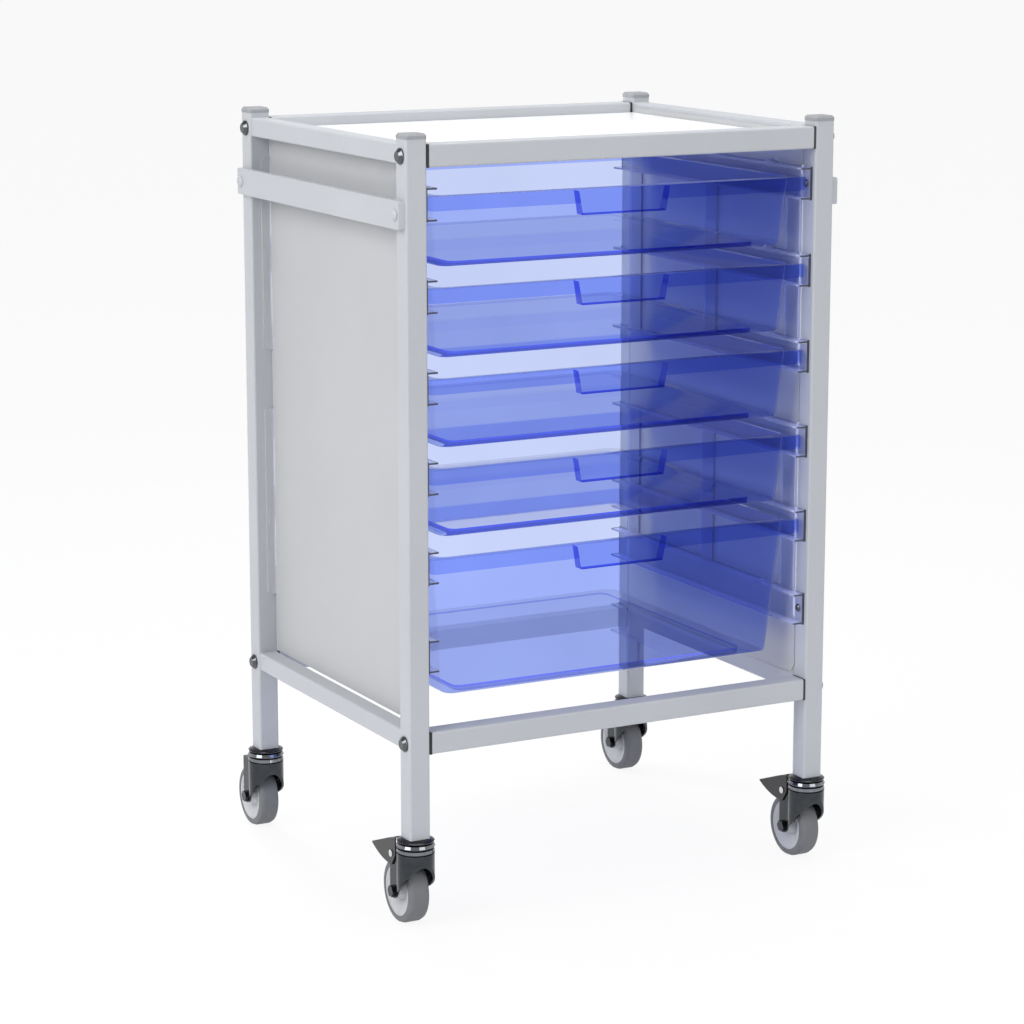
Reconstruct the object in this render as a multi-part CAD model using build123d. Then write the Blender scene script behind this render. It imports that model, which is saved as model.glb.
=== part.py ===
from build123d import *
from math import cos, radians, sin, sqrt, tan
import os

# Instrument cart: a bolted tube frame on four swivel casters, with five clear
# trays that slide in moulded runners.  Millimetres, +Z up, the front faces -Y.
# The origin is on the floor, midway along the part's own overall box.

# ---- frame ----------------------------------------------------------------
FRAME_WIDTH = 549.0          # over the outer faces of the posts, along X
FRAME_DEPTH = 444.0          # over the outer faces of the posts, along Y
POST_SIZE = 25.4             # square post and cross rail tube
POST_WALL = 1.6
POST_CORNER = 2.6
POST_LENGTH = 782.2
SIDE_TUBE = 22.0             # the lighter square tube along the sides
SIDE_WALL = 1.4
SIDE_CORNER = 2.2
TOP_RAIL_DROP = 5.6          # post top down to the top face of the top rails
LOWER_RAIL_RISE = 97.2       # post foot up to the underside of the lower cross rails
LOWER_SIDE_RAISE = 4.2       # lower side rails sit higher than the cross rails' underside
SPACER_THICKNESS = 2.7
RAIL_PLUG = 15.0             # threaded end block of a cross rail

CAP_HEIGHT = 6.2
CAP_OVERHANG = 0.4
CAP_CORNER = 3.0
CAP_DOME = 2.4
CAP_PLUG_DEPTH = 9.0
CAP_PLUG_WALL = 1.8

BOLT_HEAD_DIAMETER = 17.8    # button heads on the outer sides of the posts
BOLT_HEAD_HEIGHT = 5.0
BOLT_SHANK = 10.0
BOLT_REACH = 39.0
BOLT_CLEARANCE = 0.3
THREAD_CLEARANCE = 0.05

# ---- panels and accessory rails --------------------------------------------
TOP_RECESS = 12.0            # rail tops down to the work surface
TOP_SHEET = 2.0
TOP_FLANGE = 11.0
TOP_BEND = 2.5
TOP_CLEARANCE = 0.2
SIDE_SHEET = 1.6
SIDE_SLIT = 2.2              # lower side rail up to the edge of the side panel
SIDE_LAP = 16.0              # how far the side panel laps up the top side rail
SIDE_PANEL_CORNER = 12.0
NOTCH_CLEARANCE = 1.6
ACCESSORY_THICKNESS = 7.5
ACCESSORY_HEIGHT = 31.0
ACCESSORY_CORNER = 3.0
ACCESSORY_INSET = 3.0        # end of the bar to the outer face of the post
ACCESSORY_DROP = 81.2        # post top down to the centre line of the bar
ACCESSORY_HEAD_DIAMETER = 13.0
ACCESSORY_HEAD_HEIGHT = 3.4
ACCESSORY_SHANK = 7.0
ACCESSORY_REACH = 9.0

# ---- runner ladders ----------------------------------------------------------
LADDERS = 2                  # one above the other on each side
RUNNERS_PER_LADDER = 3
FIRST_RUNNER_DROP = 53.3     # post top down to the top face of the first runner
LAST_RUNNER_RISE = 225.9     # post foot up to the top face of the last runner
RUNNER_WEB = 3.0
RUNNER_FLANGE = 2.0
RUNNER_REACH = 14.6          # web back face to the tips of the flanges
RUNNER_GAP = 32.4            # clear height between the two flanges
RUNNER_LIP = 1.0             # how far the web stands past each flange
RUNNER_END_INSET = 5.3       # runner end to the outer face of the posts
STRIP_WIDTH = 27.0
STRIP_OFFSET = 28.0          # first strip's edge behind the front of the posts
WING_THICKNESS = 1.9
WING_REACH = 12.4            # how far a wing reaches outward past the post's inner face
WING_CORNER = 6.0
WING_LIFT = 7.0              # wing's lower edge above the ladder's lowest face
STOP_START = 65.0            # stop ridge, measured from the runner's front end
STOP_FRONT_SLOPE = 11.0
STOP_BACK_SLOPE = 9.5
STOP_RISE = 5.0
SCREW_HEAD_DIAMETER = 9.0
SCREW_HEAD_HEIGHT = 2.4
SCREW_SHANK = 4.0
SCREW_REACH = 8.0
SCREW_OFFSET = 14.0          # screw axis behind the front of the posts

# ---- trays ---------------------------------------------------------------------
TRAY_COUNT = 5
TRAY_SIDE_GAP = 3.4          # runner web to the tray rim, each side
TRAY_DEPTH = 423.5           # rim, front to back
TRAY_FRONT_INSET = 5.0
TRAY_RIM_CORNER = 8.0
TRAY_RIM_DROP = 10.0         # runner top face down to the rim's top face
TRAY_RIM_WIDTH = 12.8        # rim outer edge to the outside of the tray's wall
TRAY_SKIRT = 15.6
TRAY_WALL = 2.0
TRAY_EDGE_BEVEL = 1.2
GLIDE_CLEARANCE = 0.3        # glide edge above the runner's lower flange
GLIDE_INSET = 15.0
SHALLOW_HEIGHT = 79.0
DEEP_HEIGHT = 161.8
SIDE_DRAFT = 5.25            # degrees that the side walls lean in
END_DRAFT = 3.95             # degrees that the front and back walls lean in
TRAY_CORNER = 14.0           # plan radius of the bowl
TRAY_FLOOR_ROUND = 4.0       # outside radius where the walls meet the floor
FLOOR_PANEL_INSET = 24.0     # raised middle panel of the floor
FLOOR_PANEL_RISE = 2.5
FLOOR_PANEL_CORNER = 10.0
HANDLE_TOP_WIDTH = 120.0
HANDLE_LOW_WIDTH = 114.5
HANDLE_HEIGHT = 29.0
HANDLE_LIP = 4.0
HANDLE_CHEEK = 2.0

# ---- casters -------------------------------------------------------------------
WHEEL_DIAMETER = 75.0
WHEEL_WIDTH = 25.0
TREAD_ROUND = 5.0
TYRE_THICKNESS = 8.0
HUB_LENGTH = 27.0
HUB_DIAMETER = 20.0
WEB_THICKNESS = 9.0
RIM_LIP = 3.5
RIM_RECESS = 0.8
AXLE_DIAMETER = 8.0
RUNNING_CLEARANCE = 0.05
TRAIL = 24.5
WHEEL_GAP = 10.8             # wheel up to the underside of the fork's top
PLATE_DIAMETER = 43.0
PLATE_TOP_DIAMETER = 30.0
PLATE_CONE = 1.9
PLATE_THICKNESS = 3.9
STEM_LENGTH = 38.0
STEM_CLEARANCE = 0.2
KINGPIN_DIAMETER = 10.0
KINGPIN_HEAD_DIAMETER = 15.0
KINGPIN_HEAD = 3.0
RACE_DIAMETER = 44.4
RACE_GAP = 0.6
RACE_HEIGHT = 6.8
RING_HEIGHT = 5.2
RING_GROOVE = 0.8
FORK_DIAMETER = 43.4         # the rounded front of the fork
FORK_WIDTH = 33.0            # over the flat legs
FORK_SHEET = 2.4
FORK_REAR = 32.5             # swivel axis to the fork's rear edge
LEG_END_RADIUS = 8.5
ARCH_RISE = 20.0             # fork's front edge above the axle, half way round the arch
ARCH_CROWN = 4.5             # top of the arch below the fork's top plate
HEX_ACROSS_FLATS = 12.0
HEX_HEIGHT = 4.0
PEDAL_SHEET = 1.6
PEDAL_CLEARANCE = 0.4
PEDAL_RACE_GAP = 0.8         # ball race to the front edges of the pedal cheeks
PEDAL_REACH = 75.0           # swivel axis to the pedal's tip
PEDAL_TOP = 2.2              # pedal's highest edge below the foot of the post
PEDAL_TIP_DROP = 20.5
PEDAL_PIN_RISE = 7.5         # pivot above the top of the wheel
PEDAL_SWEEP = 2.6            # sag of the pedal's curved lower edge
PEDAL_PIN_DIAMETER = 5.0
PEDAL_PIN_HEAD = 8.0

# ---- derived levels and planes ---------------------------------------------------
half_width = FRAME_WIDTH / 2
post_axis_x = half_width - POST_SIZE / 2
inner_face_x = half_width - POST_SIZE
wheel_radius = WHEEL_DIAMETER / 2
front_extent = POST_SIZE / 2 - RACE_DIAMETER / 2
rear_extent = FRAME_DEPTH - POST_SIZE / 2 + TRAIL + wheel_radius
front_y = -(front_extent + rear_extent) / 2
rear_y = front_y + FRAME_DEPTH
middle_y = (front_y + rear_y) / 2
front_axis_y = front_y + POST_SIZE / 2
rear_axis_y = rear_y - POST_SIZE / 2
fork_top_z = WHEEL_DIAMETER + WHEEL_GAP + FORK_SHEET
ring_top_z = fork_top_z + RING_HEIGHT
race_low_z = ring_top_z + RING_GROOVE
race_top_z = race_low_z + RACE_HEIGHT
plate_low_z = race_top_z + RACE_GAP
caster_height = plate_low_z + PLATE_THICKNESS
post_foot_z = caster_height
post_top_z = post_foot_z + POST_LENGTH
rail_top_z = post_top_z - TOP_RAIL_DROP
top_rail_z = rail_top_z - POST_SIZE / 2
lower_rail_z = post_foot_z + LOWER_RAIL_RISE + POST_SIZE / 2
side_top_z = rail_top_z - SIDE_TUBE / 2
side_low_z = post_foot_z + LOWER_RAIL_RISE + LOWER_SIDE_RAISE + SIDE_TUBE / 2
work_z = rail_top_z - TOP_RECESS
accessory_z = post_top_z - ACCESSORY_DROP
web_x = inner_face_x
side_panel_x = web_x + SIDE_SHEET
side_rail_x = side_panel_x + SIDE_TUBE / 2
runner_height = RUNNER_GAP + 2 * RUNNER_FLANGE
first_runner_z = post_top_z - FIRST_RUNNER_DROP
runner_spread = POST_LENGTH - FIRST_RUNNER_DROP - LAST_RUNNER_RISE
runner_pitch = runner_spread / (LADDERS * RUNNERS_PER_LADDER - 1)
runner_front_y = front_y + RUNNER_END_INSET
runner_rear_y = rear_y - RUNNER_END_INSET
tray_half_width = web_x - RUNNER_WEB - TRAY_SIDE_GAP
tray_front_y = front_y + TRAY_FRONT_INSET
tray_middle_y = tray_front_y + TRAY_DEPTH / 2
wheel_z = wheel_radius
pedal_pin_z = WHEEL_DIAMETER + PEDAL_PIN_RISE
pedal_inner = FORK_WIDTH / 2 + PEDAL_CLEARANCE
pedal_half = pedal_inner + PEDAL_SHEET
pedal_front = sqrt((max(RACE_DIAMETER, FORK_DIAMETER) / 2) ** 2 - pedal_inner**2) + PEDAL_RACE_GAP
CORNERS = {
    "front_left": (-post_axis_x, front_axis_y),
    "front_right": (post_axis_x, front_axis_y),
    "rear_left": (-post_axis_x, rear_axis_y),
    "rear_right": (post_axis_x, rear_axis_y),
}
SIDES = {"left": -1, "right": 1}


# ---- small helpers -----------------------------------------------------------------
def block(x0, x1, y0, y1, z0, z1):
    """Box between two opposite corners."""
    size = (abs(x1 - x0), abs(y1 - y0), abs(z1 - z0))
    centre = Vector((x0 + x1) / 2, (y0 + y1) / 2, (z0 + z1) / 2)
    return Pos(centre) * Box(*size)


def rod(start, direction, radius, length):
    """Cylinder that starts at a point and runs along a direction."""
    return extrude(Plane(start, z_dir=direction) * Circle(radius), length)


def square_tube(plane, size, wall, corner, length):
    """Square tube with rounded corners, extruded from the middle of a plane."""
    section = RectangleRounded(size, size, corner) - Rectangle(size - 2 * wall, size - 2 * wall)
    return extrude(plane * section, length)


def prism(points, plane, depth):
    """Closed polygon on a plane, extruded along the plane's normal."""
    outline = make_face(plane * Polyline(*points, close=True))
    return extrude(outline, depth, dir=plane.z_dir)


def button_screw(head_diameter, head_height, shank_diameter, shank_length):
    """Low domed screw: the head's seat is at z = 0 and the shank points down."""
    r, shank = head_diameter / 2, shank_diameter / 2
    points = [
        (0, -shank_length), (shank, -shank_length), (shank, 0), (r, 0),
        (r, head_height * 0.35), (r * 0.62, head_height), (0, head_height),
    ]
    return revolve(make_face(Plane.XZ * Polyline(*points, close=True)), Axis.Z)


def toward(side, x, y, z):
    """Location of a screw whose head faces outward on the left or right side."""
    return Location(Plane((x, y, z), x_dir=(0, 1, 0), z_dir=(side, 0, 0)))


# ---- frame ----------------------------------------------------------------------------
def post(x, y):
    side = 1 if x > 0 else -1
    foot = Plane((x, y, post_foot_z))
    tube = square_tube(foot, POST_SIZE, POST_WALL, POST_CORNER, POST_LENGTH)
    hole = BOLT_SHANK / 2 + BOLT_CLEARANCE
    for z in (lower_rail_z, top_rail_z):
        tube -= rod((x - POST_SIZE, y, z), (1, 0, 0), hole, 2 * POST_SIZE)
    tube -= rod((x, y, accessory_z), (side, 0, 0), ACCESSORY_SHANK / 2 + THREAD_CLEARANCE, POST_SIZE)
    for screw_y, z in screw_points():
        start = (side * inner_face_x - side, screw_y, z)
        tube -= rod(start, (side, 0, 0), SCREW_SHANK / 2 + THREAD_CLEARANCE, SCREW_REACH)
    return tube


def post_cap(x, y):
    size = POST_SIZE + 2 * CAP_OVERHANG
    crown = extrude(RectangleRounded(size, size, CAP_CORNER), CAP_HEIGHT)
    crown = chamfer(crown.faces().sort_by(Axis.Z)[-1].edges(), CAP_DOME)
    plug_size = POST_SIZE - 2 * POST_WALL - 2 * BOLT_CLEARANCE
    plug = Rectangle(plug_size, plug_size) - Rectangle(plug_size - 2 * CAP_PLUG_WALL, plug_size - 2 * CAP_PLUG_WALL)
    return Pos(x, y, post_top_z) * (crown + extrude(plug, -CAP_PLUG_DEPTH))


def cross_rail(y, z):
    """Tube between two posts, with a threaded block in each end for the frame bolts."""
    end_x = inner_face_x - SPACER_THICKNESS
    plane = Plane((-end_x, y, z), x_dir=(0, 1, 0), z_dir=(1, 0, 0))
    rail = extrude(plane * RectangleRounded(POST_SIZE, POST_SIZE, POST_CORNER), 2 * end_x)
    hollow_length = 2 * end_x - 2 * RAIL_PLUG
    bore = POST_SIZE - 2 * POST_WALL
    rail -= Pos(0, y, z) * Box(hollow_length, bore, bore)
    thread = BOLT_SHANK / 2 + THREAD_CLEARANCE
    return rail - rod((-end_x - 1, y, z), (1, 0, 0), thread, 2 * end_x + 2)


def side_rail(side, z):
    plane = Plane((side * side_rail_x, front_y + POST_SIZE, z), x_dir=(1, 0, 0), z_dir=(0, 1, 0))
    return square_tube(plane, SIDE_TUBE, SIDE_WALL, SIDE_CORNER, FRAME_DEPTH - 2 * POST_SIZE)


def rail_spacer(side, y, z):
    plane = Plane((side * inner_face_x, y, z), x_dir=(0, 1, 0), z_dir=(-side, 0, 0))
    plate = Rectangle(POST_SIZE, POST_SIZE) - Circle(BOLT_SHANK / 2 + BOLT_CLEARANCE)
    return extrude(plane * plate, SPACER_THICKNESS)


def frame_bolt(side, y, z):
    bolt = button_screw(BOLT_HEAD_DIAMETER, BOLT_HEAD_HEIGHT, BOLT_SHANK, BOLT_REACH)
    return toward(side, side * half_width, y, z) * bolt


def accessory_rail(side):
    """Flat bar screwed across the two posts of one side."""
    length = FRAME_DEPTH - 2 * ACCESSORY_INSET
    plane = Plane((side * half_width, middle_y, accessory_z), x_dir=(0, 1, 0), z_dir=(side, 0, 0))
    bar = extrude(plane * RectangleRounded(length, ACCESSORY_HEIGHT, ACCESSORY_CORNER), ACCESSORY_THICKNESS)
    hole = ACCESSORY_SHANK / 2 + BOLT_CLEARANCE
    for y in (front_axis_y, rear_axis_y):
        bar -= rod((side * half_width, y, accessory_z), (side, 0, 0), hole, ACCESSORY_THICKNESS)
    return bar


def accessory_screw(side, y):
    screw = button_screw(
        ACCESSORY_HEAD_DIAMETER, ACCESSORY_HEAD_HEIGHT, ACCESSORY_SHANK,
        ACCESSORY_THICKNESS + ACCESSORY_REACH,
    )
    return toward(side, side * (half_width + ACCESSORY_THICKNESS), y, accessory_z) * screw


# ---- panels ------------------------------------------------------------------------------
def top_panel():
    """Work surface: a sheet with its four edges folded down, set between the top rails."""
    width = 2 * (web_x - TOP_CLEARANCE)
    depth = FRAME_DEPTH - 2 * POST_SIZE - 2 * TOP_CLEARANCE
    pan = Pos(0, middle_y, work_z - TOP_FLANGE / 2) * Box(width, depth, TOP_FLANGE)
    pan = fillet(pan.faces().sort_by(Axis.Z)[-1].edges(), TOP_BEND)
    inside = Box(width - 2 * TOP_SHEET, depth - 2 * TOP_SHEET, TOP_FLANGE)
    return pan - Pos(0, middle_y, work_z - TOP_SHEET - TOP_FLANGE / 2) * inside


def wing_levels(ladder):
    top = first_runner_z - ladder * RUNNERS_PER_LADDER * runner_pitch
    low = top - (RUNNERS_PER_LADDER - 1) * runner_pitch - runner_height + WING_LIFT
    return low, top


def side_panel(side):
    """Sheet inside the side rails, notched at its edges for the wings of the ladders."""
    x0, x1 = side * web_x, side * (web_x + SIDE_SHEET)
    y0, y1 = front_y + POST_SIZE, rear_y - POST_SIZE
    z0 = side_low_z + SIDE_TUBE / 2 + SIDE_SLIT
    z1 = side_top_z - SIDE_TUBE / 2 + SIDE_LAP
    sheet = block(x0, x1, y0, y1, z0, z1)
    sheet = fillet(sheet.edges().filter_by(Axis.X), SIDE_PANEL_CORNER)
    notch = WING_THICKNESS + NOTCH_CLEARANCE
    for ladder in range(LADDERS):
        low, top = wing_levels(ladder)
        low, top = low - NOTCH_CLEARANCE, top + NOTCH_CLEARANCE
        sheet -= block(x0 - side, x1 + side, y0 - 1, y0 + notch, low, top)
        sheet -= block(x0 - side, x1 + side, y1 - notch, y1 + 1, low, top)
    return sheet


# ---- runner ladders -----------------------------------------------------------------------
def screw_points():
    """Ladder screws: in the first runner of the upper ladder and the last of the lower."""
    levels = (0, LADDERS * RUNNERS_PER_LADDER - 1)
    middle = first_runner_z - runner_height / 2
    return [(front_y + SCREW_OFFSET, middle - n * runner_pitch) for n in levels]


def runner_profile():
    """C-shaped section: x from the web's back face, y from the top face down."""
    low = -runner_height
    points = [
        (0, RUNNER_LIP), (RUNNER_WEB, RUNNER_LIP), (RUNNER_WEB, 0), (RUNNER_REACH, 0),
        (RUNNER_REACH, -RUNNER_FLANGE), (RUNNER_WEB, -RUNNER_FLANGE), (RUNNER_WEB, low + RUNNER_FLANGE),
        (RUNNER_REACH, low + RUNNER_FLANGE), (RUNNER_REACH, low), (RUNNER_WEB, low),
        (RUNNER_WEB, low - RUNNER_LIP), (0, low - RUNNER_LIP),
    ]
    return make_face(Polyline(*points, close=True))


def stop_ridge(top):
    """Tent-shaped stop raised right across a runner's upper flange."""
    y0 = runner_front_y + STOP_START
    peak, y1 = y0 + STOP_FRONT_SLOPE, y0 + STOP_FRONT_SLOPE + STOP_BACK_SLOPE
    points = [(y0, top - RUNNER_FLANGE / 2), (peak, top + STOP_RISE), (y1, top - RUNNER_FLANGE / 2)]
    plane = Plane((web_x - RUNNER_REACH, 0, 0), x_dir=(0, 1, 0), z_dir=(1, 0, 0))
    return prism(points, plane, RUNNER_REACH - RUNNER_WEB / 2)


def wing(at_front, ladder):
    """Thin plate that hooks outward behind a post, through the side panel's notch."""
    low, top = wing_levels(ladder)
    x0, x1 = web_x - RUNNER_WEB, inner_face_x + WING_REACH
    y = front_y + POST_SIZE if at_front else rear_y - POST_SIZE
    y_dir = 1 if at_front else -1
    plane = Plane(((x0 + x1) / 2, y, (low + top) / 2), x_dir=(1, 0, 0), z_dir=(0, y_dir, 0))
    plate = extrude(plane * Rectangle(x1 - x0, top - low), WING_THICKNESS)
    corners = plate.edges().filter_by(Axis.Y).group_by(Axis.X)[-1]
    return fillet(corners, WING_CORNER)


def runner_ladder(side, ladder):
    """Clear moulding: three C-shaped runners joined by upright strips, with two wings."""
    plane = Plane((web_x, runner_front_y, 0), x_dir=(-1, 0, 0), z_dir=(0, 1, 0))
    length = runner_rear_y - runner_front_y
    tops = [
        first_runner_z - (ladder * RUNNERS_PER_LADDER + n) * runner_pitch
        for n in range(RUNNERS_PER_LADDER)
    ]
    pieces = []
    for top in tops:
        section = Pos(0, top) * runner_profile()
        pieces += [extrude(plane * section, length), stop_ridge(top)]
    strip_starts = (
        front_y + STRIP_OFFSET, middle_y - STRIP_WIDTH / 2, rear_y - STRIP_OFFSET - STRIP_WIDTH
    )
    bottom = tops[-1] - runner_height
    for y0 in strip_starts:
        pieces.append(block(web_x - RUNNER_WEB, web_x, y0, y0 + STRIP_WIDTH, bottom, tops[0]))
    pieces += [wing(True, ladder), wing(False, ladder)]
    body = pieces[0].fuse(*pieces[1:]).clean()
    for y, z in screw_points():
        body -= rod((web_x - RUNNER_WEB - 1, y, z), (1, 0, 0), SCREW_SHANK / 2 + BOLT_CLEARANCE, 6)
    return body if side > 0 else mirror(body, Plane.YZ)


def ladder_screw(side, y, z):
    screw = button_screw(SCREW_HEAD_DIAMETER, SCREW_HEAD_HEIGHT, SCREW_SHANK, SCREW_REACH)
    return toward(-side, side * (web_x - RUNNER_WEB), y, z) * screw


# ---- trays --------------------------------------------------------------------------------
def tray_bowl(width, depth, corner, height, top, floor_round):
    """Drafted bowl with its floor at -height and its mouth, measured at z = 0, run up to top."""
    lean_x, lean_y = tan(radians(SIDE_DRAFT)), tan(radians(END_DRAFT))
    levels = [
        Pos(0, 0, z) * RectangleRounded(width + 2 * lean_x * z, depth + 2 * lean_y * z, corner)
        for z in (-height, top)
    ]
    bowl = loft(levels, ruled=True)
    return fillet(bowl.faces().sort_by(Axis.Z)[0].edges(), floor_round)


def floor_panel(height, inset, corner, depth):
    """Block that raises the middle of the floor, from the bowl's underside upward."""
    lean_x, lean_y = tan(radians(SIDE_DRAFT)), tan(radians(END_DRAFT))
    width = 2 * (tray_half_width - TRAY_RIM_WIDTH - lean_x * height - inset)
    length = TRAY_DEPTH - 2 * (TRAY_RIM_WIDTH + lean_y * height + inset)
    return Pos(0, 0, -height) * extrude(RectangleRounded(width, length, corner), depth)


def tray_handle():
    """Deep middle of the front skirt: a finger pull, open underneath, with slanted cheeks."""
    front = -TRAY_DEPTH / 2
    top, low = -TRAY_WALL, -HANDLE_HEIGHT
    half_top, half_low = HANDLE_TOP_WIDTH / 2, HANDLE_LOW_WIDTH / 2
    outline = [(-half_top, top), (-half_low, low), (half_low, low), (half_top, top)]
    plane = Plane((0, front + TRAY_WALL, 0), x_dir=(1, 0, 0), z_dir=(0, -1, 0))
    pull = prism(outline, plane, TRAY_WALL)
    pull += block(-half_low, half_low, front, front + HANDLE_LIP, low, low + TRAY_WALL)
    back = front + TRAY_RIM_WIDTH + TRAY_WALL / 2
    for side in (-1, 1):
        cheek = [
            (side * half_top, top), (side * half_low, low),
            (side * (half_low - HANDLE_CHEEK), low), (side * (half_top - HANDLE_CHEEK), top),
        ]
        slab = prism(cheek, Plane((0, back, 0), x_dir=(1, 0, 0), z_dir=(0, -1, 0)), back - front)
        pull += slab
    return pull


def tray_rim():
    """Flat rim with a skirt all round; its side skirts run down to glide on the runners."""
    width = 2 * tray_half_width
    outline = RectangleRounded(width, TRAY_DEPTH, TRAY_RIM_CORNER)
    inner = RectangleRounded(
        width - 2 * TRAY_WALL, TRAY_DEPTH - 2 * TRAY_WALL, TRAY_RIM_CORNER - TRAY_WALL
    )
    rim = extrude(outline, -TRAY_SKIRT)
    rim = chamfer(rim.faces().sort_by(Axis.Z)[-1].edges(), TRAY_EDGE_BEVEL)
    rim -= Pos(0, 0, -TRAY_WALL) * extrude(inner, -TRAY_SKIRT)
    glide_low = -(RUNNER_FLANGE + RUNNER_GAP - TRAY_RIM_DROP) + GLIDE_CLEARANCE
    reach = TRAY_DEPTH / 2 - GLIDE_INSET
    run = -TRAY_SKIRT - glide_low
    glide = [
        (-reach, -TRAY_SKIRT + 1), (-reach + run, glide_low),
        (reach - run, glide_low), (reach, -TRAY_SKIRT + 1),
    ]
    for x in (-tray_half_width, tray_half_width - TRAY_WALL):
        plane = Plane((x, 0, 0), x_dir=(0, 1, 0), z_dir=(1, 0, 0))
        rim += prism(glide, plane, TRAY_WALL)
    return rim


def tray(index, height):
    """One-piece moulding, built with its rim's top face at z = 0 and then put in its runner."""
    width = 2 * (tray_half_width - TRAY_RIM_WIDTH)
    depth = TRAY_DEPTH - 2 * TRAY_RIM_WIDTH
    outer = tray_bowl(width, depth, TRAY_CORNER, height, -TRAY_WALL / 2, TRAY_FLOOR_ROUND)
    inner = tray_bowl(
        width - 2 * TRAY_WALL, depth - 2 * TRAY_WALL, TRAY_CORNER - TRAY_WALL,
        height - TRAY_WALL, 1, TRAY_FLOOR_ROUND - TRAY_WALL,
    )
    outer -= floor_panel(height, FLOOR_PANEL_INSET, FLOOR_PANEL_CORNER, FLOOR_PANEL_RISE)
    inner -= floor_panel(
        height, FLOOR_PANEL_INSET - TRAY_WALL, FLOOR_PANEL_CORNER + TRAY_WALL,
        FLOOR_PANEL_RISE + TRAY_WALL,
    )
    body = tray_rim() + outer + tray_handle() - inner
    z = first_runner_z - index * runner_pitch - TRAY_RIM_DROP
    return Pos(0, tray_middle_y, z) * body


# ---- casters: built at the swivel axis, with the floor at z = 0 ------------------------------
def ring_solid(points):
    """Solid of revolution about the swivel axis from (radius, height) points."""
    return revolve(make_face(Plane.XZ * Polyline(*points, close=True)), Axis.Z)


def caster_plate():
    """Fixed plate with a king pin below and a square stem that fills the post's foot."""
    r, pin = PLATE_DIAMETER / 2, KINGPIN_DIAMETER / 2
    head_z = fork_top_z - FORK_SHEET - RACE_GAP
    points = [
        (0, caster_height), (PLATE_TOP_DIAMETER / 2, caster_height),
        (r - 1.0, caster_height - PLATE_CONE), (r, caster_height - PLATE_CONE - 0.8),
        (r - 0.6, plate_low_z), (pin, plate_low_z), (pin, head_z),
        (KINGPIN_HEAD_DIAMETER / 2, head_z), (KINGPIN_HEAD_DIAMETER / 2, head_z - KINGPIN_HEAD),
        (0, head_z - KINGPIN_HEAD),
    ]
    stem_size = POST_SIZE - 2 * POST_WALL - 2 * STEM_CLEARANCE
    stem = extrude(Rectangle(stem_size, stem_size), STEM_LENGTH)
    return ring_solid(points) + Pos(0, 0, caster_height) * stem


def caster_race():
    """Bulging ball race and the ring under it, which swivel with the fork."""
    r, bore = RACE_DIAMETER / 2, KINGPIN_DIAMETER / 2 + RUNNING_CLEARANCE
    points = [
        (bore, fork_top_z), (r - 1.6, fork_top_z), (r - 0.2, fork_top_z + RING_HEIGHT * 0.4),
        (r - 1.0, ring_top_z), (r - 3.2, ring_top_z), (r - 1.8, race_low_z),
        (r, race_low_z + RACE_HEIGHT * 0.35), (r - 1.4, race_top_z - RACE_HEIGHT * 0.2),
        (r - 4.5, race_top_z), (bore, race_top_z),
    ]
    return ring_solid(points)


def fork_plan(inset):
    """Plan outline of the fork: a round front run back into two flat sides."""
    r, half = FORK_DIAMETER / 2 - inset, FORK_WIDTH / 2 - inset
    plan = Circle(r)
    plan -= Pos(0, 2 * r + sqrt(max(r * r - half * half, 0.01))) * Rectangle(4 * r, 4 * r)
    return plan + Pos(0, FORK_REAR / 2) * Rectangle(2 * half, FORK_REAR)


def fork_side_outline():
    """Side view of the fork: an open arch in front, sweeping down to a rounded leg end."""
    r = FORK_DIAMETER / 2 + 1
    end = LEG_END_RADIUS
    y_leg = TRAIL - end
    arch_z = wheel_z + ARCH_RISE
    with BuildSketch(Plane((-r, 0, 0), x_dir=(0, 1, 0), z_dir=(1, 0, 0))) as side:
        with BuildLine():
            Line((-r, fork_top_z), (FORK_REAR, fork_top_z))
            Line((FORK_REAR, fork_top_z), (FORK_REAR, wheel_z))
            ThreePointArc(
                (FORK_REAR, wheel_z), (TRAIL, wheel_z - end), (y_leg, wheel_z)
            )
            ThreePointArc((y_leg, wheel_z), (-r * 0.42, arch_z), (-r, fork_top_z - ARCH_CROWN))
            Line((-r, fork_top_z - ARCH_CROWN), (-r, fork_top_z))
        make_face()
    return side.sketch


def caster_fork(braked):
    """Pressed fork: a U of sheet with a rounded front, cut to an arch over the wheel."""
    height = fork_top_z - wheel_z + LEG_END_RADIUS + 2
    shell = extrude(Pos(0, 0, fork_top_z) * fork_plan(0), -height)
    hollow = extrude(Pos(0, 0, fork_top_z - FORK_SHEET) * fork_plan(FORK_SHEET), -height)
    hollow += Pos(0, FORK_REAR, fork_top_z - FORK_SHEET - height / 2) * Box(
        FORK_WIDTH - 2 * FORK_SHEET, 8, height
    )
    fork = (shell - hollow) & extrude(fork_side_outline(), FORK_DIAMETER + 2)
    fork -= rod((0, 0, 0), (0, 0, 1), KINGPIN_DIAMETER / 2 + RUNNING_CLEARANCE, caster_height)
    across = (-FORK_WIDTH, TRAIL, wheel_z)
    fork -= rod(across, (1, 0, 0), AXLE_DIAMETER / 2 + RUNNING_CLEARANCE, 2 * FORK_WIDTH)
    if braked:
        pin = PEDAL_PIN_DIAMETER / 2 + RUNNING_CLEARANCE
        fork -= rod((-FORK_WIDTH, TRAIL, pedal_pin_z), (1, 0, 0), pin, 2 * FORK_WIDTH)
    return fork


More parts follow.
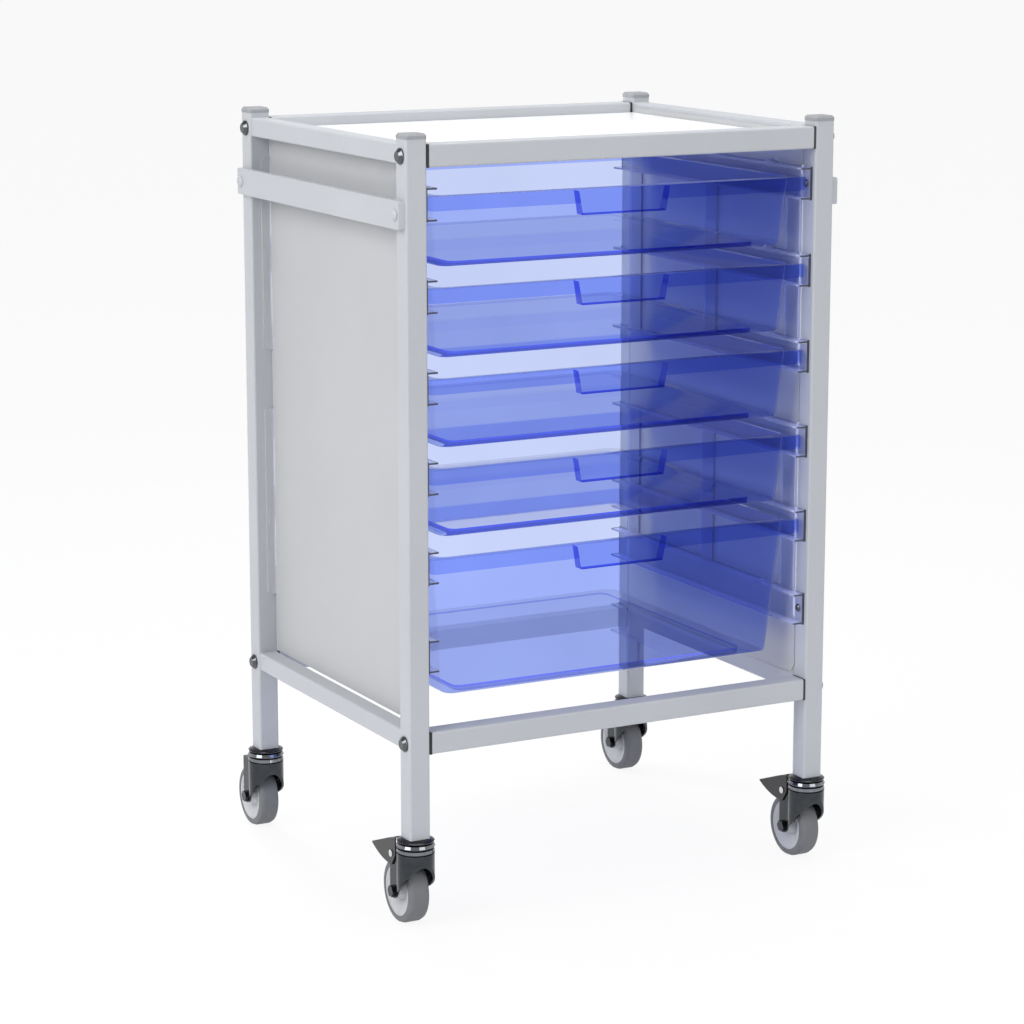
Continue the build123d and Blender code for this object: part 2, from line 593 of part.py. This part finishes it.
def caster_axle():
    """Wheel bolt with its hex head on one leg and its nut on the other."""
    half = FORK_WIDTH / 2
    hexagon = RegularPolygon(HEX_ACROSS_FLATS / 2, 6, major_radius=False)
    axle = rod((-half, 0, 0), (1, 0, 0), AXLE_DIAMETER / 2, FORK_WIDTH)
    for side in (-1, 1):
        plane = Plane((side * half, 0, 0), x_dir=(0, 1, 0), z_dir=(side, 0, 0))
        axle += extrude(plane * hexagon, HEX_HEIGHT)
    return Pos(0, TRAIL, wheel_z) * axle


def wheel_centre():
    """Moulded wheel centre: hub, dished web and a rim, revolved about the axle."""
    bore = AXLE_DIAMETER / 2 + RUNNING_CLEARANCE
    hub, rim = HUB_DIAMETER / 2, wheel_radius - TYRE_THICKNESS
    web, half = WEB_THICKNESS / 2, WHEEL_WIDTH / 2 - RIM_RECESS
    points = [
        (HUB_LENGTH / 2, bore), (HUB_LENGTH / 2, hub - 2), (web, hub + 2),
        (half, rim - RIM_LIP), (half, rim),
    ]
    outline = points + [(-a, b) for a, b in reversed(points)]
    wheel = revolve(make_face(Polyline(*outline, close=True)), Axis.X)
    return Pos(0, TRAIL, wheel_z) * wheel


def tyre():
    """Tread ring with well rounded shoulders, revolved about the axle."""
    half, low = WHEEL_WIDTH / 2, wheel_radius - TYRE_THICKNESS
    shoulder = [
        (half - TREAD_ROUND * (1 - cos(radians(a))), wheel_radius - TREAD_ROUND * (1 - sin(radians(a))))
        for a in (0, 45, 90)
    ]
    outline = [(half, low)] + shoulder + [(-a, b) for a, b in reversed(shoulder)] + [(-half, low)]
    return Pos(0, TRAIL, wheel_z) * revolve(make_face(Polyline(*outline, close=True)), Axis.X)


def pedal_outline(inset):
    """Side view of the brake pedal: a sloping top and a lower edge that sweeps to the tip."""
    top_z = caster_height - PEDAL_TOP - inset
    tip_z = top_z - PEDAL_TIP_DROP
    front, reach = pedal_front, PEDAL_REACH
    plane = Plane((-pedal_half + inset, 0, 0), x_dir=(0, 1, 0), z_dir=(1, 0, 0))
    leg_z = pedal_pin_z - PEDAL_PIN_HEAD * 1.7
    middle = ((FORK_REAR + reach) / 2, (tip_z - 1.2 + leg_z) / 2 - PEDAL_SWEEP)
    with BuildSketch(plane) as side:
        with BuildLine():
            Line((front, top_z), (FORK_REAR - 4, top_z - 3.2))
            Line((FORK_REAR - 4, top_z - 3.2), (reach, tip_z))
            Line((reach, tip_z), (reach, tip_z - 1.2))
            ThreePointArc((reach, tip_z - 1.2), middle, (FORK_REAR, leg_z))
            Line((FORK_REAR, leg_z), (TRAIL, leg_z))
            Line((TRAIL, leg_z), (front, pedal_pin_z))
            Line((front, pedal_pin_z), (front, top_z))
        make_face()
    return side.sketch


def brake_pedal():
    """Folded pedal: a sloping top plate with a cheek outside each leg of the fork."""
    solid = extrude(pedal_outline(0), 2 * pedal_half)
    width = 2 * (pedal_half - PEDAL_SHEET)
    room = extrude(pedal_outline(PEDAL_SHEET), width)
    room += extrude(Pos(0, 0, -6) * pedal_outline(PEDAL_SHEET), width)
    room += block(-width / 2, width / 2, 0, FORK_REAR + 4, 0, caster_height)
    pedal = solid - room
    pin = PEDAL_PIN_DIAMETER / 2 + RUNNING_CLEARANCE
    return pedal - rod((-FORK_WIDTH, TRAIL, pedal_pin_z), (1, 0, 0), pin, 2 * FORK_WIDTH)


def pedal_pin():
    """Cross pin with a flat head outside each cheek of the pedal."""
    reach = pedal_half + 0.2
    pin = rod((-reach, 0, 0), (1, 0, 0), PEDAL_PIN_DIAMETER / 2, 2 * reach)
    for side in (-1, 1):
        pin += rod((side * reach, 0, 0), (side, 0, 0), PEDAL_PIN_HEAD / 2, 1.2)
    return Pos(0, TRAIL, pedal_pin_z) * pin


# ---- assembly ----------------------------------------------------------------------------------
def build():
    nodes = {}
    for name, (x, y) in CORNERS.items():
        nodes[f"post_{name}"] = [post(x, y)]
    nodes["post_caps"] = [post_cap(x, y) for x, y in CORNERS.values()]
    for end, y in (("front", front_axis_y), ("rear", rear_axis_y)):
        nodes[f"{end}_top_rail"] = [cross_rail(y, top_rail_z)]
        nodes[f"{end}_lower_rail"] = [cross_rail(y, lower_rail_z)]
    bolt_points = [
        (side, y, z) for side in SIDES.values()
        for y in (front_axis_y, rear_axis_y) for z in (top_rail_z, lower_rail_z)
    ]
    nodes["rail_spacers"] = [rail_spacer(*point) for point in bolt_points]
    nodes["frame_bolts"] = [frame_bolt(*point) for point in bolt_points]
    nodes["top_panel"] = [top_panel()]
    for name, side in SIDES.items():
        nodes[f"side_top_rail_{name}"] = [side_rail(side, side_top_z)]
        nodes[f"side_lower_rail_{name}"] = [side_rail(side, side_low_z)]
        nodes[f"side_panel_{name}"] = [side_panel(side)]
        nodes[f"accessory_rail_{name}"] = [accessory_rail(side)]
        nodes[f"runner_ladder_{name}_upper"] = [runner_ladder(side, 0)]
        nodes[f"runner_ladder_{name}_lower"] = [runner_ladder(side, 1)]
    nodes["accessory_rail_screws"] = [
        accessory_screw(side, y) for side in SIDES.values() for y in (front_axis_y, rear_axis_y)
    ]
    nodes["ladder_screws"] = [
        ladder_screw(side, y, z) for side in SIDES.values() for y, z in screw_points()
    ]
    for index in range(TRAY_COUNT):
        height = SHALLOW_HEIGHT if index < TRAY_COUNT - 1 else DEEP_HEIGHT
        nodes[f"tray_{index + 1}"] = [tray(index, height)]
    for name, (x, y) in CORNERS.items():
        braked = name.startswith("front")
        pieces = {
            "plate": caster_plate(), "race": caster_race(), "fork": caster_fork(braked),
            "axle": caster_axle(), "wheel": wheel_centre(), "tyre": tyre(),
        }
        if braked:
            pieces["brake_pedal"] = brake_pedal()
            pieces["pedal_pin"] = pedal_pin()
        for piece, shape in pieces.items():
            nodes[f"caster_{piece}_{name}"] = [Pos(x, y, 0) * shape]
    return nodes


def main():
    os.makedirs("parts", exist_ok=True)
    for name, shapes in build().items():
        solids = [solid for shape in shapes for solid in shape.solids()]
        whole = solids[0] if len(solids) == 1 else Compound(children=solids)
        export_step(whole, f"parts/{name}.step")


main()
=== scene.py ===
from math import cos, radians, sin, tan

import bmesh
import bpy
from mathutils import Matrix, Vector


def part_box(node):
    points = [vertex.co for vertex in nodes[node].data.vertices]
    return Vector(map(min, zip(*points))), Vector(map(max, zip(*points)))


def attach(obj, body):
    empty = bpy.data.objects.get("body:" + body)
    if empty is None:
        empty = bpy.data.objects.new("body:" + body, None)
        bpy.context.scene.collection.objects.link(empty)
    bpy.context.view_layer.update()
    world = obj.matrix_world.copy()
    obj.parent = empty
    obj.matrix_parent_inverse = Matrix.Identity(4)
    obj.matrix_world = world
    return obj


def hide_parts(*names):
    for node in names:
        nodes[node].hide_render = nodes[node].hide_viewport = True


# Instrument cart: looks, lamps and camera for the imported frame.  Metres, +Z up.
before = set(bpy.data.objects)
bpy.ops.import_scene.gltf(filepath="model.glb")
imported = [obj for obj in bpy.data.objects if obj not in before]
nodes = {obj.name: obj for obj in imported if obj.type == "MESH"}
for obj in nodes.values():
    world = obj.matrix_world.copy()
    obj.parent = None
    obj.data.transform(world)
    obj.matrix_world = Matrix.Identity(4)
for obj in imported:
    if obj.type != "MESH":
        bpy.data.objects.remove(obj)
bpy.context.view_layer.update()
MM = 0.001

# ---- camera: the photograph's viewing angle ---------------------------------
CAMERA_AT = Vector((-1.7491, -3.2506, 1.1746))
CAMERA_AZIMUTH, CAMERA_ELEVATION = -28.054, 11.685
LENS, SENSOR = 109.87, 36.0          # millimetres
CLIP_END = 200.0

# ---- finishes ------------------------------------------------------------------
FRAME_GREY = (0.458, 0.475, 0.502)
PANEL_GREY = (0.455, 0.463, 0.476)
TOP_WHITE = (0.93, 0.93, 0.935)
CAP_GREY = (0.29, 0.30, 0.315)
BLACK = (0.012, 0.012, 0.013)
BLACK_PAINT = (0.02, 0.02, 0.022)
DARK_CHROME = (0.12, 0.125, 0.135)
PLATE_CHROME = (0.05, 0.052, 0.058)
RACE_CHROME = (0.20, 0.21, 0.23)
FORK_CHROME = (0.055, 0.06, 0.066)
AXLE_CHROME = (0.06, 0.064, 0.07)
PALE_STEEL = (0.72, 0.73, 0.75)
SCREW_GREY = (0.455, 0.47, 0.495)
TYRE_GREY = (0.155, 0.16, 0.17)
WHEEL_GREY = (0.50, 0.51, 0.53)
FLOOR_WHITE = (0.86, 0.86, 0.865)
FLOOR_SHARE = 0.9                    # how much of the floor that the camera sees is plain white
WORLD_WHITE = (0.97, 0.98, 1.0)
TRAY_TINT = (0.60, 0.675, 0.985)     # what one wall of a tray lets through
TRAY_EDGE_TINT = (0.27, 0.31, 0.90)  # small upright edges seen through their length
SHEET_INDEX = 1.25                   # sets how fast a thin sheet's mirror grows with the angle
CLEAR_TINT = (0.975, 0.98, 0.995)
CLEAR_END_SHADE = (0.02, 0.022, 0.035)     # painted shade: near-black colour laid on the two ends of the clear mouldings
CLEAR_PAINTED_BLUE_BODY = (0.66, 0.71, 1.0)       # faint milky body of the clear mouldings; its lavender is painted blue light from the trays
CLEAR_SHADOW = (0.95, 0.96, 0.99)    # light that a clear moulding lets past to what is behind it
WING_MILK = (0.95, 0.955, 1.0)

GRAIN_DEPTH = 0.4 * MM               # relief of paint and mouldings
WAVE_DEPTH, WAVE_STRENGTH = 1.0 * MM, 0.02
MIRROR_BAND = (0.014, 0.27)          # Fresnel shares at which the mirror starts and is full
MOULDING_INDEX = 1.2
# shares of the clear mouldings' painted blue body and of the wings' milky body
CLEAR_PAINTED_BLUE_SHARE, WING_MILK_SHARE = 0.34, 0.45
END_SHADE_SHARE = 0.9                      # how far the painted shade darkens the ends of the mouldings
END_SHADE_START, END_SHADE_FULL = 0.9 * MM, 0.3 * MM


# ---- material helpers -------------------------------------------------------------
class Nodes:
    """The node tree of a material or world, with short calls to add and link nodes."""

    def __init__(self, owner, output="ShaderNodeOutputMaterial"):
        owner.use_nodes = True
        self.owner, self.tree = owner, owner.node_tree
        self.tree.nodes.clear()
        self.output = self.add(output)

    def feed(self, socket, value):
        """Links the socket to a value that is a socket itself, and sets it to any other."""
        if isinstance(value, bpy.types.NodeSocket):
            self.tree.links.new(value, socket)
        else:
            socket.default_value = value

    def add(self, kind, **inputs):
        node = self.tree.nodes.new(kind)
        for key, value in inputs.items():
            socket = key.replace("_", " ")
            if socket in node.inputs:
                self.feed(node.inputs[socket], value)
            else:
                setattr(node, key, value)
        return node

    def math(self, operation, first, second=0.0):
        node = self.add("ShaderNodeMath", operation=operation)
        self.feed(node.inputs[0], first)
        self.feed(node.inputs[1], second)
        return node.outputs[0]

    def mix(self, share, first, second):
        """Blend of two shaders; the share is the second one's."""
        node = self.add("ShaderNodeMixShader")
        for socket, value in zip(node.inputs, (share, first, second)):
            self.feed(socket, value)
        return node.outputs[0]

    def along(self, vector, axis):
        node = self.add("ShaderNodeSeparateXYZ")
        self.feed(node.inputs[0], vector)
        return node.outputs[axis]

    def position(self):
        return self.add("ShaderNodeTexCoord").outputs["Object"]

    def noise(self, scale, detail=2.0, rough=0.5):
        return self.add(
            "ShaderNodeTexNoise", Vector=self.position(), Scale=scale, Detail=detail, Roughness=rough,
        ).outputs["Fac"]

    def ramp(self, factor, low, high, start=0.0, end=1.0):
        node = self.add("ShaderNodeValToRGB")
        node.color_ramp.elements[0].position = start
        node.color_ramp.elements[1].position = end
        node.color_ramp.elements[0].color = (*low, 1)
        node.color_ramp.elements[1].color = (*high, 1)
        self.feed(node.inputs["Fac"], factor)
        return node.outputs["Color"]

    def scale(self, factor, low, high, start=0.0, end=1.0):
        """Runs from low to high as the factor goes from start to end, and stays there beyond."""
        return self.add(
            "ShaderNodeMapRange", Value=factor, From_Min=start, From_Max=end, To_Min=low, To_Max=high,
        ).outputs["Result"]

    def bump(self, height, strength, distance):
        return self.add(
            "ShaderNodeBump", Height=height, Strength=strength, Distance=distance,
        ).outputs["Normal"]

    def principled(self, **inputs):
        return self.add("ShaderNodeBsdfPrincipled", **inputs).outputs["BSDF"]

    def seen(self):
        """1 for a ray from the camera, off gloss or through glass, and 0 for one that lights."""
        path = self.add("ShaderNodeLightPath").outputs
        direct = self.math("MAXIMUM", path["Is Camera Ray"], path["Is Glossy Ray"])
        return self.math("MAXIMUM", direct, path["Is Transmission Ray"])

    def finish(self, shader):
        self.feed(self.output.inputs["Surface"], shader)
        return self.owner


def new_material(name):
    return Nodes(bpy.data.materials.new(name))


def shade(colour, factor):
    return tuple(min(1.0, c * factor) for c in colour)


def powder_coat(name, colour, roughness=0.42, grain=700.0):
    """Satin powder coat: a fine orange-peel grain and a faint cloud in the colour."""
    s = new_material(name)
    cloud = s.noise(7.0, 3.0)
    tone = s.ramp(cloud, shade(colour, 0.975), shade(colour, 1.02), 0.3, 0.7)
    peel = s.noise(grain, 2.0)
    rough = s.scale(s.noise(40.0), roughness - 0.05, roughness + 0.05)
    return s.finish(s.principled(
        Base_Color=tone, Roughness=rough, Normal=s.bump(peel, 0.05, GRAIN_DEPTH),
        Specular_IOR_Level=0.4,
    ))


def moulded(name, colour, roughness=0.5, grain=900.0, relief=0.08):
    """Moulded plastic or rubber with a fine even grain."""
    s = new_material(name)
    tone = s.ramp(s.noise(60.0, 4.0), shade(colour, 0.94), shade(colour, 1.05), 0.3, 0.7)
    normal = s.bump(s.noise(grain, 3.0), relief, GRAIN_DEPTH)
    rough = s.scale(s.noise(90.0), roughness - 0.06, roughness + 0.06)
    return s.finish(s.principled(Base_Color=tone, Roughness=rough, Normal=normal))


def plated(name, colour, roughness=0.16):
    """Dark bright plating with faint polishing marks."""
    s = new_material(name)
    tone = s.ramp(s.noise(120.0, 3.0), shade(colour, 0.9), shade(colour, 1.08), 0.35, 0.65)
    rough = s.scale(s.noise(260.0, 3.0), roughness - 0.04, roughness + 0.05)
    return s.finish(s.principled(Base_Color=tone, Metallic=1.0, Roughness=rough))


def sheet_mirror(s, most):
    """Share of light that a thin clear sheet mirrors: next to none face on, most at a glance."""
    inward = s.add("ShaderNodeNewGeometry").outputs["Backfacing"]
    index = s.scale(inward, SHEET_INDEX, 1 / SHEET_INDEX)
    mirrored = s.add("ShaderNodeFresnel", IOR=index).outputs["Fac"]
    return s.scale(mirrored, 0.0, most, *MIRROR_BAND)


def tinted_sheet(name, tint, most=0.85, roughness=0.03, milk=None):
    """Thin clear tinted sheet: it tints what is behind it and mirrors more at a glancing angle."""
    s = new_material(name)
    cloud = s.ramp(s.noise(9.0, 2.0), shade(tint, 0.975), shade(tint, 1.02), 0.3, 0.7)
    through = s.add("ShaderNodeBsdfTransparent", Color=cloud).outputs["BSDF"]
    wave = s.bump(s.noise(14.0, 1.0), WAVE_STRENGTH, WAVE_DEPTH)
    mirror = s.add("ShaderNodeBsdfGlossy", Roughness=roughness, Normal=wave).outputs["BSDF"]
    sheet = s.mix(sheet_mirror(s, most), through, mirror)
    if milk is None:
        return s.finish(sheet)
    return s.finish(s.mix(
        WING_MILK_SHARE, sheet, s.principled(Base_Color=(*milk, 1), Roughness=0.3),
    ))


def clear_moulding(name, tint, end_shade_colour, end_low, end_high):
    """Clear solid moulding that bends light, with a faint milky body whose lavender is painted blue
    light from the trays, and painted shade at its two ends along Y; lamps shine through it.
    """
    s = new_material(name)
    tone = s.ramp(s.noise(12.0, 2.0), shade(tint, 0.98), shade(tint, 1.01), 0.3, 0.7)
    glass = s.principled(
        Base_Color=tone, Transmission_Weight=1.0, IOR=MOULDING_INDEX, Roughness=0.02,
        Normal=s.bump(s.noise(22.0, 2.0), WAVE_STRENGTH, WAVE_DEPTH),
    )
    # faint milky body, lavender with painted blue light from the trays
    milk = s.principled(Base_Color=(*CLEAR_PAINTED_BLUE_BODY, 1), Roughness=0.25)
    body = s.mix(CLEAR_PAINTED_BLUE_SHARE, glass, milk)
    # painted shade: a dark surface mixed over the moulding towards its two ends along Y
    end = s.principled(Base_Color=(*end_shade_colour, 1), Roughness=0.2)
    off_middle = s.math(
        "ABSOLUTE", s.math("SUBTRACT", s.along(s.position(), "Y"), (end_low + end_high) / 2),
    )
    reach = (end_high - end_low) / 2
    painted_end_shade = s.scale(off_middle, 0.0, END_SHADE_SHARE, reach - END_SHADE_START, reach - END_SHADE_FULL)
    seen = s.mix(painted_end_shade, body, end)
    lit = s.add("ShaderNodeBsdfTransparent", Color=(*CLEAR_SHADOW, 1)).outputs["BSDF"]
    shadow_ray = s.add("ShaderNodeLightPath").outputs["Is Shadow Ray"]
    return s.finish(s.mix(shadow_ray, seen, lit))


def dress(prefix, material, *but):
    """Gives a material to every CAD node whose name starts with the prefix."""
    for name, obj in nodes.items():
        if name.startswith(prefix) and not any(word in name for word in but):
            obj.data.materials.clear()
            obj.data.materials.append(material)


# ---- meshes -----------------------------------------------------------------------
CORNER_STEPS = 8
SHARP_ANGLE = radians(38)


def rounded_ring(half_x, half_y, radius, z):
    """Points round a rectangle with rounded corners, counter-clockwise, at one height."""
    points = []
    for sx, sy, start in ((1, 1, 0), (-1, 1, 90), (-1, -1, 180), (1, -1, 270)):
        cx, cy = sx * (half_x - radius), sy * (half_y - radius)
        for i in range(CORNER_STEPS + 1):
            a = radians(start + 90 * i / CORNER_STEPS)
            points.append((cx + radius * cos(a), cy + radius * sin(a), z))
    return points


def skin(mesh, rings):
    """Quads between successive rings of the same length, in bands, and a cap on the last ring."""
    loops = [[mesh.verts.new(p) for p in ring] for ring in rings]
    count = len(loops[0])
    bands = []
    for low, high in zip(loops, loops[1:]):
        band = []
        for i in range(count):
            j = (i + 1) % count
            band.append(mesh.faces.new((low[i], low[j], high[j], high[i])))
        bands.append(band)
    mesh.faces.new(loops[-1])
    return bands


def piece(name, mesh, materials, body):
    """Smooth-shaded object that rides on a body."""
    data = bpy.data.meshes.new(name)
    bmesh.ops.recalc_face_normals(mesh, faces=mesh.faces)
    mesh.to_mesh(data)
    mesh.free()
    obj = bpy.data.objects.new(name, data)
    bpy.context.scene.collection.objects.link(obj)
    for material in materials:
        data.materials.append(material)
    data.polygons.foreach_set("use_smooth", [True] * len(data.polygons))
    data.set_sharp_from_angle(angle=SHARP_ANGLE)
    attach(obj, body)
    return obj


# ---- trays: thin clear shells -------------------------------------------------------
RIM_CORNER, RIM_EDGE, SKIRT = 8.0 * MM, 1.2 * MM, 15.6 * MM
RIM_SOFTENING = 0.3                  # middle ring of the rim's edge, as a share of the edge
RIM_WIDTH, LIP, CORNER = 12.8 * MM, 2.0 * MM, 14.0 * MM
SIDE_LEAN, END_LEAN = tan(radians(5.25)), tan(radians(3.95))
FLOOR_ROUND, FLOOR_STEPS = 4.0 * MM, 5
PANEL_INSET, PANEL_RISE, PANEL_CORNER = 24.0 * MM, 2.5 * MM, 10.0 * MM
PANEL_DRAFT = 0.999                  # size of the raised panel's top over its foot
GLIDE_DROP, GLIDE_INSET, GLIDE_RUN = 24.1 * MM, 15.0 * MM, 8.5 * MM
HANDLE_TOP, HANDLE_LOW, HANDLE_DROP = 58.6 * MM, 53.2 * MM, 29.0 * MM
HANDLE_LIP = 4.0 * MM
CHEEK_SETBACK = 0.4 * MM             # keeps the handle's cheeks off the skirt
WALL, EDGE = 0, 1                    # material slots


def tray_shell(name, materials):
    """Clear shell of one tray: skirt, rim, drafted walls, floor with its raised panel, handle."""
    low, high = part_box(name)
    half_x, half_y = (high[0] - low[0]) / 2, (high[1] - low[1]) / 2
    centre = Vector(((low[0] + high[0]) / 2, (low[1] + high[1]) / 2, high[2]))
    height = high[2] - low[2]

    def wall(z, inset=0.0, corner=CORNER):
        x = half_x - RIM_WIDTH + SIDE_LEAN * z - inset
        y = half_y - RIM_WIDTH + END_LEAN * z - inset
        return rounded_ring(x, y, corner, z)

    soft = RIM_EDGE * RIM_SOFTENING
    rings = [
        rounded_ring(half_x, half_y, RIM_CORNER, -SKIRT),
        rounded_ring(half_x, half_y, RIM_CORNER, -RIM_EDGE),
        rounded_ring(half_x - soft, half_y - soft, RIM_CORNER - soft, -soft),
        rounded_ring(half_x - RIM_EDGE, half_y - RIM_EDGE, RIM_CORNER - RIM_EDGE, 0),
        wall(0, LIP, CORNER - LIP),
        wall(-LIP),
        wall(FLOOR_ROUND - height),
    ]
    for i in range(1, FLOOR_STEPS + 1):
        a = radians(90 * i / FLOOR_STEPS)
        z = -height + FLOOR_ROUND * (1 - sin(a))
        inset = FLOOR_ROUND * (1 - cos(a))
        rings.append(wall(z, inset, CORNER - inset))
    step = wall(-height, PANEL_INSET, PANEL_CORNER)
    rings.append(step)
    rings.append([(x * PANEL_DRAFT, y * PANEL_DRAFT, z + PANEL_RISE) for x, y, z in step])
    mesh = bmesh.new()
    bands = skin(mesh, rings)
    for face in bands[-1]:
        face.material_index = EDGE
    reach = half_y - GLIDE_INSET
    for x in (-half_x, half_x):
        outline = [
            (x, -reach, -SKIRT), (x, -reach + GLIDE_RUN, -GLIDE_DROP),
            (x, reach - GLIDE_RUN, -GLIDE_DROP), (x, reach, -SKIRT),
        ]
        mesh.faces.new([mesh.verts.new(p) for p in outline])
    tray_handle(mesh, -half_y)
    bmesh.ops.translate(mesh, verts=mesh.verts, vec=centre)
    shell = piece(f"{name}_shell", mesh, materials, f"{name}_body")
    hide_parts(name)


def tray_handle(mesh, front):
    """Finger pull under the middle of the front rim: a plate, two cheeks and a bottom lip."""
    at_skirt = HANDLE_TOP + (HANDLE_LOW - HANDLE_TOP) * SKIRT / HANDLE_DROP
    back = front + RIM_WIDTH + END_LEAN * HANDLE_DROP
    cheek, inner = front + CHEEK_SETBACK, front + HANDLE_LIP
    low, lip = -HANDLE_DROP, -HANDLE_DROP + LIP

    def sheet(points, material):
        face = mesh.faces.new([mesh.verts.new(p) for p in points])
        face.material_index = material

    sheet([
        (-at_skirt, front, -SKIRT), (-HANDLE_LOW, front, low),
        (HANDLE_LOW, front, low), (at_skirt, front, -SKIRT),
    ], WALL)
    for side in (-1, 1):
        sheet([
            (side * HANDLE_TOP, cheek, -LIP), (side * HANDLE_LOW, cheek, low),
            (side * HANDLE_LOW, back, low), (side * HANDLE_TOP, front + RIM_WIDTH, -LIP),
        ], EDGE)
    sheet([
        (-HANDLE_LOW, front, low), (HANDLE_LOW, front, low),
        (HANDLE_LOW, inner, low), (-HANDLE_LOW, inner, low),
    ], EDGE)
    sheet([
        (-HANDLE_LOW, inner, low), (HANDLE_LOW, inner, low),
        (HANDLE_LOW, inner, lip), (-HANDLE_LOW, inner, lip),
    ], EDGE)


# ---- dressing -----------------------------------------------------------------------
frame_paint = powder_coat("frame_powder_coat", FRAME_GREY)
dress("post_", frame_paint, "caps")
for end in ("front", "rear", "side"):
    dress(f"{end}_top_rail", frame_paint)
    dress(f"{end}_lower_rail", frame_paint)
dress("accessory_rail_", powder_coat("accessory_powder_coat", FRAME_GREY, 0.38))
dress("side_panel", powder_coat("panel_powder_coat", PANEL_GREY, 0.45))
dress("top_panel", powder_coat("white_laminate", TOP_WHITE, 0.22, 1200.0))
dress("post_caps", moulded("grey_cap_plastic", CAP_GREY, 0.5))
dress("rail_spacers", moulded("black_spacer_plastic", BLACK, 0.45))
dress("frame_bolts", plated("dark_chrome_bolt", DARK_CHROME, 0.14))
dress("accessory_rail_screws", moulded("pale_screw_coat", SCREW_GREY, 0.4))
dress("ladder_screws", plated("dark_screw_plating", DARK_CHROME, 0.3))
ladder_low, ladder_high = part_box("runner_ladder_left_upper")
dress("runner_ladder", clear_moulding(
    "clear_runner_plastic", CLEAR_TINT, CLEAR_END_SHADE, ladder_low[1], ladder_high[1],
))
wing_plastic = tinted_sheet("clear_wing_plastic", CLEAR_TINT, 0.4, 0.05, WING_MILK)
wings_from = abs(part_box("post_front_left")[1][0]) + 1.0 * MM     # inner faces of the posts
for name, obj in nodes.items():
    if name.startswith("runner_ladder"):
        obj.data.materials.append(wing_plastic)
        for face in obj.data.polygons:
            if abs((obj.matrix_world @ face.center).x) > wings_from:
                face.material_index = 1
dress("caster_plate", plated("dark_plate_plating", PLATE_CHROME, 0.22))
dress("caster_race", plated("dark_chrome_race", RACE_CHROME, 0.08))
dress("caster_fork", plated("dark_chrome_fork", FORK_CHROME, 0.16))
dress("caster_axle", plated("dark_axle_plating", AXLE_CHROME, 0.22))
dress("caster_pedal_pin", plated("pale_pin_plating", PALE_STEEL, 0.25))
dress("caster_wheel", moulded("wheel_centre_plastic", WHEEL_GREY, 0.45))
dress("caster_tyre", moulded("grey_tyre_rubber", TYRE_GREY, 0.62, 600.0, 0.12))
dress("caster_brake_pedal", powder_coat("black_gloss_paint", BLACK_PAINT, 0.22))
blue_plastic = [
    tinted_sheet("clear_blue_plastic", TRAY_TINT),
    tinted_sheet("clear_blue_edge", TRAY_EDGE_TINT),
]
for name in sorted(nodes):
    if name.startswith("tray_"):
        tray_shell(name, blue_plastic)


# ---- stage, lamps and camera ------------------------------------------------------------
CEILING, CEILING_BAND = 0.45, (0.25, 0.6)    # its brightness, and the heights where it fades in


def white_to_camera(name, diffuse, share):
    """Matt white; of what the camera, gloss and glass see of it, the share is plain white."""
    s = new_material(name)
    matt = s.add("ShaderNodeBsdfDiffuse", Color=(*diffuse, 1)).outputs["BSDF"]
    white = s.add("ShaderNodeEmission", Color=(1, 1, 1, 1), Strength=1.0).outputs["Emission"]
    return s.finish(s.mix(s.scale(s.seen(), 0.0, share), matt, white))


def floor_plane(size):
    mesh = bmesh.new()
    half = size / 2
    corners = [(-half, -half, 0), (half, -half, 0), (half, half, 0), (-half, half, 0)]
    mesh.faces.new([mesh.verts.new(p) for p in corners])
    data = bpy.data.meshes.new("floor")
    mesh.to_mesh(data)
    mesh.free()
    obj = bpy.data.objects.new("floor", data)
    bpy.context.scene.collection.objects.link(obj)
    data.materials.append(white_to_camera("pale_floor", FLOOR_WHITE, FLOOR_SHARE))


def lamp(name, at, target, size, power, hidden=False):
    """Rectangular lamp of a power in watts; a hidden one is not seen, mirrored or seen through."""
    data = bpy.data.lights.new(name, "AREA")
    data.shape, data.size, data.size_y = "RECTANGLE", size[0], size[1]
    data.energy = power
    obj = bpy.data.objects.new(name, data)
    obj.location = at
    obj.rotation_euler = (Vector(target) - Vector(at)).to_track_quat("-Z", "Y").to_euler()
    obj.visible_camera = obj.visible_glossy = obj.visible_transmission = not hidden
    bpy.context.scene.collection.objects.link(obj)


def pale_world(strength):
    """Even soft light; the camera, gloss and glass see a white room with a darker ceiling."""
    world = bpy.data.worlds.new("pale_studio")
    bpy.context.scene.world = world
    s = Nodes(world, "ShaderNodeOutputWorld")
    light = s.add("ShaderNodeBackground", Color=(*WORLD_WHITE, 1), Strength=strength)
    up = s.along(s.add("ShaderNodeTexCoord").outputs["Generated"], "Z")
    room = s.add(
        "ShaderNodeBackground", Color=(1, 1, 1, 1), Strength=s.scale(up, 1.0, CEILING, *CEILING_BAND),
    )
    s.finish(s.mix(s.seen(), light.outputs[0], room.outputs[0]))


def camera():
    data = bpy.data.cameras.new("camera")
    data.lens, data.sensor_width = LENS, SENSOR
    data.clip_end = CLIP_END
    obj = bpy.data.objects.new("camera", data)
    obj.location = CAMERA_AT
    obj.rotation_euler = (radians(90 - CAMERA_ELEVATION), 0, radians(CAMERA_AZIMUTH))
    bpy.context.scene.collection.objects.link(obj)
    bpy.context.scene.camera = obj


floor_plane(160.0)
pale_world(0.55)
lamp("key_left", (-3.4, -0.9, 2.6), (0, 0, 0.45), (2.4, 2.4), 92.0)
lamp("fill_front", (0.9, -4.2, 1.9), (0, 0, 0.45), (2.6, 1.8), 38.0)
lamp("back_low", (-0.19, 0.8, 0.56), (0.24, -0.02, 0.5), (0.16, 0.7), 5.0, hidden=True)
lamp("top_soft", (0.2, 0.3, 3.4), (0, 0, 0.5), (2.6, 2.6), 55.0)
camera()
bpy.context.scene.view_settings.view_transform = "Standard"
